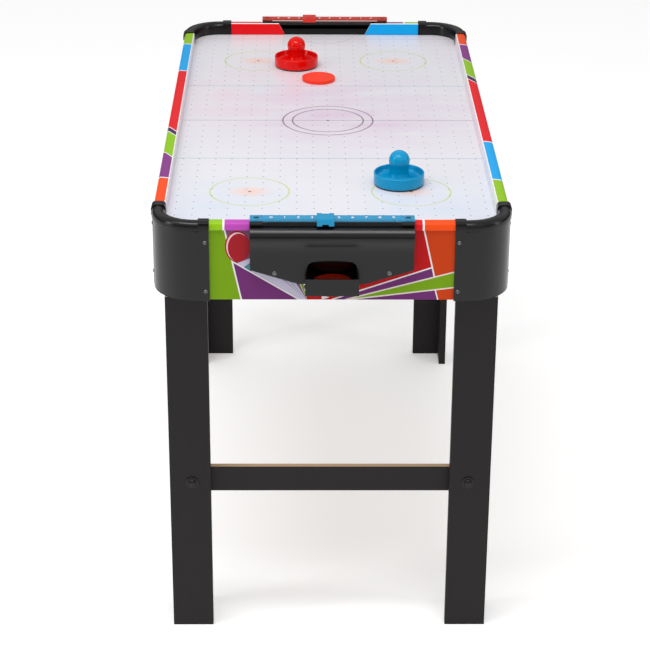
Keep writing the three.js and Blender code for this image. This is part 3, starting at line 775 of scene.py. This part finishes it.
# Where the films go: clear of the goal slot, the chute and the parts that overlap the boards
END_FACE = BOARD_HIGH.y
SIDE_FACE = SIDE_HIGH.x
TUCK = 3  # how far a film runs under the caps
END_REACH = CAP_EDGE_X / MM + TUCK
SIDE_REACH = RAIL_END_Y / MM + TUCK
FILM_TOP = 648.7
SLOT_HALF, SLOT_LOW = 89.5, 589.5
CHUTE_HALF, CHUTE_LOW = 39, 560.5
END_AREAS = [
    (-END_REACH, -SLOT_HALF, LOW, FILM_TOP),
    (SLOT_HALF, END_REACH, LOW, FILM_TOP),
    (-SLOT_HALF, SLOT_HALF, LOW, CHUTE_LOW),
    (-SLOT_HALF, -CHUTE_HALF, CHUTE_LOW, SLOT_LOW),
    (CHUTE_HALF, SLOT_HALF, CHUTE_LOW, SLOT_LOW),
]
SIDE_AREAS = [(-SIDE_REACH, SIDE_REACH, LOW, FILM_TOP)]
for end, sign in (("front", -1), ("rear", 1)):
    print_on(
        f"print_{end}", end_pattern(), END_AREAS,
        lambda a, z, out, s=sign: (-s * a, s * (END_FACE + out), z),
    )
for side, sign in (("left", -1), ("right", 1)):
    print_on(
        f"print_{side}", side_pattern(), SIDE_AREAS,
        lambda a, z, out, s=sign: (s * (SIDE_FACE + out), s * a, z),
    )


# Turned pieces. A pusher's sizes are in millimetres and a puck's in metres
PUSHER_LIFT, PUSHER_RIM, PUSHER_DOME = 1.8, 19, 15.6
PUSHER_ROUNDING = 2.6
DOME_START, DOME_STEPS = -0.12, 22
PUCK_RECESS = 0.8 * MM
PUCK_ROUNDING = 0.9 * MM


def arc(cx, cz, r, start, stop, steps):
    turns = (start + (stop - start) * i / steps for i in range(steps + 1))
    return [(cx + r * math.cos(a), cz + r * math.sin(a)) for a in turns]


def pusher_profile(r, top):
    """A hollow foot, a dish with a thin rim, a flared post and a dome."""
    lift, rim = PUSHER_LIFT, PUSHER_RIM
    crown = arc(0, top - PUSHER_DOME, PUSHER_DOME, DOME_START, math.pi / 2, DOME_STEPS)
    crown[-1] = (0.0, top)
    foot = [(0, 6), (30, 6), (33, 3), (34, lift), (36.3, lift), (r, lift + 1.5), (r, rim - 1)]
    dish = [(36.7, rim), (35.5, rim), (34.8, rim - 1.2), (33.4, 10.4), (28, 8.4), (20.5, 8.8)]
    post = [(16.4, 12), (14.2, 19), (14, 27), crown[0]]
    return rounded(foot + dish + post, PUSHER_ROUNDING) + crown[1:]


def puck_profile(r, t):
    """A groove below, a rim, and a small ring on the recessed top."""
    recess = t - PUCK_RECESS
    below = [(0, 0), (r - 6 * MM, 0), (r - 5.4 * MM, 0.35 * MM), (r - 5 * MM, 0), (r, 0), (r, t)]
    rim = [(r - 4 * MM, t), (r - 4.8 * MM, recess)]
    small_ring = [(12 * MM, recess), (11.2 * MM, t - 0.5 * MM), (10.4 * MM, recess), (0, recess)]
    return rounded(below + rim + small_ring, PUCK_ROUNDING, 4)


def stand(piece, low, high, z):
    """Moves a turned mesh to the middle of a box, at height z."""
    piece.data.transform(Matrix.Translation(((low.x + high.x) / 2, (low.y + high.y) / 2, z)))


def make_pusher(colour, material):
    low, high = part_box(f"pusher_{colour}")
    profile = pusher_profile((high.x - low.x) / 2 / MM, (high.z - PLAY_Z) / MM)
    bm = turned([(x * MM, z * MM) for x, z in profile])
    piece = object_from(
        f"pusher_{colour}_turned", mesh_from("pusher", bm), [material], f"pusher_{colour}"
    )
    stand(piece, low, high, PLAY_Z)
    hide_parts(f"pusher_{colour}")


def make_puck(node, body):
    low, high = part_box(node)
    bm = turned(puck_profile((high.x - low.x) / 2, high.z - low.z))
    piece = object_from(f"{node}_turned", mesh_from("puck", bm), [PUCK_RED], body)
    stand(piece, low, high, low.z)
    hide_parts(node)


make_pusher("blue", PUSHER_BLUE)
make_pusher("red", PUSHER_RED)
make_puck("puck_on_table", "table_puck")
make_puck("puck_in_tray", "tray_puck")


# Screws with crossed slots
SCREW_SEGMENTS, SCREW_RINGS = 32, 6
SCREW_SUNK = 0.3 * MM
CROSS_HALF_WIDTH, CROSS_REACH, CROSS_DEPTH = 0.16, 0.62, 0.55  # of the radius, radius and height
CAP_SCREW_R, CAP_SCREW_HEIGHT = 3.2 * MM, 2.3 * MM
CAP_SCREW_INSET, CAP_SCREW_BACK = 5.5 * MM, 1.9 * MM
CAP_SCREW_LEVELS = (0.631, 0.5575)
HOOD_SCREW_R, HOOD_SCREW_HEIGHT = 3.4 * MM, 1.6 * MM
HOOD_SCREW_X, HOOD_SCREW_Y, HOOD_SCREW_Z = 0.080, 0.516, 0.5885


def screw_blank(radius, height):
    """A domed head on a short base that sits in the surface."""
    bm = bmesh.new()
    rings = [ring(bm, radius, -SCREW_SUNK, SCREW_SEGMENTS)]
    for step in range(SCREW_RINGS + 1):
        a = math.pi / 2 * step / SCREW_RINGS
        rings.append(ring(bm, radius * math.cos(a), height * math.sin(a), SCREW_SEGMENTS))
    skin(bm, rings, SCREW_SEGMENTS)
    bm.faces.new(rings[0][::-1])
    return linked("screw_blank", mesh_from("screw_blank", bm))


def screw_cross(radius, height):
    """Two crossed bars, to be cut from the head."""
    bm = bmesh.new()
    bar = (2 * radius * CROSS_REACH, 2 * radius * CROSS_HALF_WIDTH, 2 * height * CROSS_DEPTH, 1)
    for turn in (0, math.pi / 2):
        made = bmesh.ops.create_cube(bm, size=1.0)["verts"]
        place = Matrix.Translation((0, 0, height)) @ Matrix.Rotation(turn, 4, "Z") @ Matrix.Diagonal(bar)
        bmesh.ops.transform(bm, matrix=place, verts=made)
    return linked("screw_cross", mesh_from("screw_cross", bm))


def screw_mesh(radius, height):
    blank, cross = screw_blank(radius, height), screw_cross(radius, height)
    cut = blank.modifiers.new("cut", "BOOLEAN")
    cut.operation = "DIFFERENCE"
    cut.solver = "EXACT"
    cut.use_self = True
    cut.object = cross
    result = evaluated_mesh(blank)
    for helper in (blank, cross):
        bpy.data.objects.remove(helper)
    return result


def put_screws(name, places, radius, height):
    """Copies of one screw, joined in one piece. Each place is a point and the direction it faces."""
    model = screw_mesh(radius, height)
    bm = bmesh.new()
    for point, facing in places:
        copy = model.copy()
        turn = Vector(facing).to_track_quat("Z", "Y").to_matrix().to_4x4()
        copy.transform(Matrix.Translation(point) @ turn)
        bm.from_mesh(copy)
        bpy.data.meshes.remove(copy)
    smooth_by_angle(object_from(name, mesh_from(name, bm), [SCREW]))


def cap_screws():
    face_y = CAP_HIGH.y - CAP_SCREW_BACK
    face_x = CAP_HIGH.x - CAP_SCREW_BACK
    for sx in (-1, 1):
        for sy in (-1, 1):
            for z in CAP_SCREW_LEVELS:
                yield (sx * (CAP_LOW.x + CAP_SCREW_INSET), sy * face_y, z), (0, sy, 0)
                yield (sx * face_x, sy * (CAP_LOW.y + CAP_SCREW_INSET), z), (sx, 0, 0)


def hood_screws():
    for sx in (-1, 1):
        for sy in (-1, 1):
            yield (sx * HOOD_SCREW_X, sy * HOOD_SCREW_Y, HOOD_SCREW_Z), (0, sy, 0)


put_screws("cap_screws", cap_screws(), CAP_SCREW_R, CAP_SCREW_HEIGHT)
put_screws("hood_screws", hood_screws(), HOOD_SCREW_R, HOOD_SCREW_HEIGHT)


# Digits on the score bars
DIGIT_COUNT = 10
DIGIT_PITCH = 18.8 * MM
DIGIT_SIZE = 9.5 * MM
DIGIT_HALF_DEPTH = 0.05 * MM
DIGIT_LIFT = 0.06 * MM


def digit_mesh(digit):
    font = bpy.data.curves.new("digit", "FONT")
    font.body = str(digit)
    font.size = DIGIT_SIZE
    font.extrude = DIGIT_HALF_DEPTH
    font.align_x = "CENTER"
    font.align_y = "CENTER"
    return baked("digit", font)


def digits(end, turn):
    """The digits 0 to 9 along a score bar, turned to be read from that end."""
    low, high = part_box(f"score_bar_{end}")
    middle = Matrix.Translation((0, (low.y + high.y) / 2, high.z + DIGIT_LIFT))
    bar = middle @ Matrix.Rotation(turn, 4, "Z")
    bm = bmesh.new()
    for digit in range(DIGIT_COUNT):
        shape = digit_mesh(digit)
        along = (digit - (DIGIT_COUNT - 1) / 2) * DIGIT_PITCH
        shape.transform(bar @ Matrix.Translation((along, 0, 0)))
        bm.from_mesh(shape)
        bpy.data.meshes.remove(shape)
    object_from(f"score_digits_{end}", mesh_from("digits", bm), [DIGIT_INK])


digits("front", 0.0)
digits("rear", math.pi)


# Materials of the CAD nodes that stay, by how each node's name starts
BY_START = {
    "corner_cap": CHARCOAL,
    "goal_housing": CHARCOAL,
    "score_block": BLACK,
    "leg_crossbar": LEG_FILM,
    "leg_front": LEG_FILM,
    "leg_rear": LEG_FILM,
    "corner_block": MDF,
    "crossbar_bolt": STEEL,
    "side_apron": MDF,
    "end_apron": MDF,
    "plenum_frame": MDF,
    "base_panel": HARDBOARD,
    "blower": BLACK,
    "fan_rotor": BLACK,
    "switch": BLACK,
    "power": BLACK,
    "pusher_felt": FELT,
    "side_rail_left": RAIL_LEFT,
    "side_rail_right": RAIL_RIGHT,
    "end_rail_front": END_RAIL_FRONT,
    "end_rail_rear": END_RAIL_REAR,
    "score_bar_front": BAR_BLUE,
    "score_bar_rear": BAR_RED,
    "score_slider_front": SLIDER_BLUE,
    "score_slider_rear": SLIDER_RED,
}


def set_material(node, material):
    mesh = NODES[node].data
    if not mesh.materials:
        mesh.materials.append(material)
    for i in range(len(mesh.materials)):
        mesh.materials[i] = material


for node, piece in NODES.items():
    for start, material in BY_START.items():
        if node.startswith(start):
            set_material(node, material)
    smooth_by_angle(piece)


# Floor, light and camera
FLOOR_SIZE = 40
FLOOR_GLOW = 0.3
LAMPS = {  # place, the point it faces, width and height, watts
    "overhead": ((-0.4, -1.1, 3.0), (0, 0, 0.5), (2.2, 0.7), 40),
    "front_fill": ((1.4, -3.4, 1.9), (0, -0.3, 0.5), (2.4, 2.0), 5),
    "left_strip": ((-2.6, -1.2, 1.6), (0, -0.2, 0.55), (0.4, 2.2), 16),
    "right_strip": ((2.6, -0.9, 1.3), (0, -0.2, 0.55), (0.3, 2.0), 8),
}
BAND_TOP, CEILING = 0.12, 0.55  # heights in the sky where it starts and ends its rise in brightness
BAND_LIGHT, CEILING_LIGHT = 0.1, 0.68
CAMERA_PLACE = (-0.0437, -3.1329, 1.689)
CAMERA_DOWN, CAMERA_RIGHT, CAMERA_ROLL = 24.255, 0.752, 0.359  # degrees
CAMERA_LENS = 113.0
CAMERA_SENSOR = 36


def backdrop():
    floor = Graph("pale_floor")
    tone = floor.mix(floor.noise(3.0), srgb(252, 252, 252), srgb(250, 250, 250))
    glow = {"Emission_Color": (1, 1, 1, 1), "Emission_Strength": FLOOR_GLOW}
    bpy.ops.mesh.primitive_plane_add(size=FLOOR_SIZE)
    plane = bpy.context.object
    plane.name = "floor"
    plane.data.materials.append(floor.finish(tone, 0.6, edge=0, **glow))


def area_light(name, place, target, size, power):
    data = bpy.data.lights.new(name, "AREA")
    data.shape = "RECTANGLE"
    data.size, data.size_y = size
    data.energy = power
    lamp = linked(name, data)
    lamp.location = place
    lamp.rotation_euler = (Vector(target) - Vector(place)).to_track_quat("-Z", "Y").to_euler()


def sky():
    """A bright ceiling over a darker band near the horizon."""
    world = bpy.data.worlds.new("studio")
    bpy.context.scene.world = world
    world.use_nodes = True
    tree = world.node_tree
    direction = tree.nodes.new("ShaderNodeTexCoord").outputs["Generated"]
    height = tree.nodes.new("ShaderNodeSeparateXYZ")
    tree.links.new(direction, height.inputs[0])
    rise = tree.nodes.new("ShaderNodeMapRange")
    rise.interpolation_type = "SMOOTHSTEP"
    rise.inputs["From Min"].default_value = BAND_TOP
    rise.inputs["From Max"].default_value = CEILING
    rise.inputs["To Min"].default_value = BAND_LIGHT
    rise.inputs["To Max"].default_value = CEILING_LIGHT
    tree.links.new(height.outputs["Z"], rise.inputs["Value"])
    background = tree.nodes["Background"]
    background.inputs[0].default_value = (1, 1, 1, 1)
    tree.links.new(rise.outputs[0], background.inputs[1])


def camera():
    data = bpy.data.cameras.new("camera")
    data.lens = CAMERA_LENS
    data.sensor_width = CAMERA_SENSOR
    view = linked("camera", data)
    view.location = CAMERA_PLACE
    aim = Euler((math.radians(90 - CAMERA_DOWN), 0, -math.radians(CAMERA_RIGHT)), "XYZ").to_matrix()
    view.rotation_euler = (aim @ Matrix.Rotation(math.radians(CAMERA_ROLL), 3, "Z")).to_euler()
    bpy.context.scene.camera = view


backdrop()
for name, settings in LAMPS.items():
    area_light(name, *settings)
sky()
camera()
bpy.context.scene.view_settings.view_transform = "Standard"
